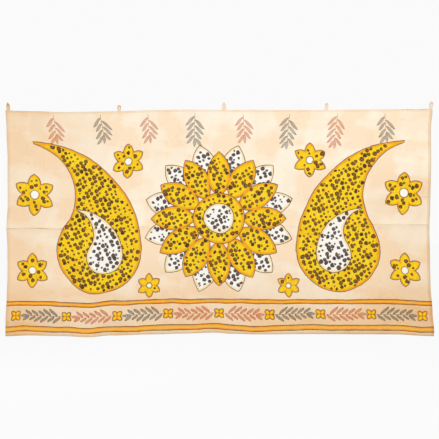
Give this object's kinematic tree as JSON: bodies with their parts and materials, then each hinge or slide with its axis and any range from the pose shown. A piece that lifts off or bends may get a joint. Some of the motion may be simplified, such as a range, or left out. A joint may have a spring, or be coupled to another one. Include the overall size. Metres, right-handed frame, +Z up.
{
  "type": "tapestry wall hanging",
  "caption": "Wide hemmed cotton wall hanging with a painted face, hung flat from small fabric loops along its top edge.",
  "frame": {"origin": "middle of the cloth's top edge, between the second and fourth loops, at the thickness of the hem", "axes": "+X along the top edge to the viewer's right, +Y away from the viewer through the cloth, +Z up"},
  "size_m": [2.1408, 0.0197, 1.177],
  "materials": {
    "painted_cotton": "plain-weave cotton with a slight slub, hand painted in matt dye washes and pigment",
    "loop_tape": "narrow folded cotton tape, matt and a little frayed"
  },
  "bodies": {
    "root": {"cloth": "painted_cotton", "loop_left_corner": "loop_tape", "loop_left": "loop_tape", "loop_middle": "loop_tape", "loop_right": "loop_tape", "loop_right_corner": "loop_tape"}
  },
  "joints": []
}
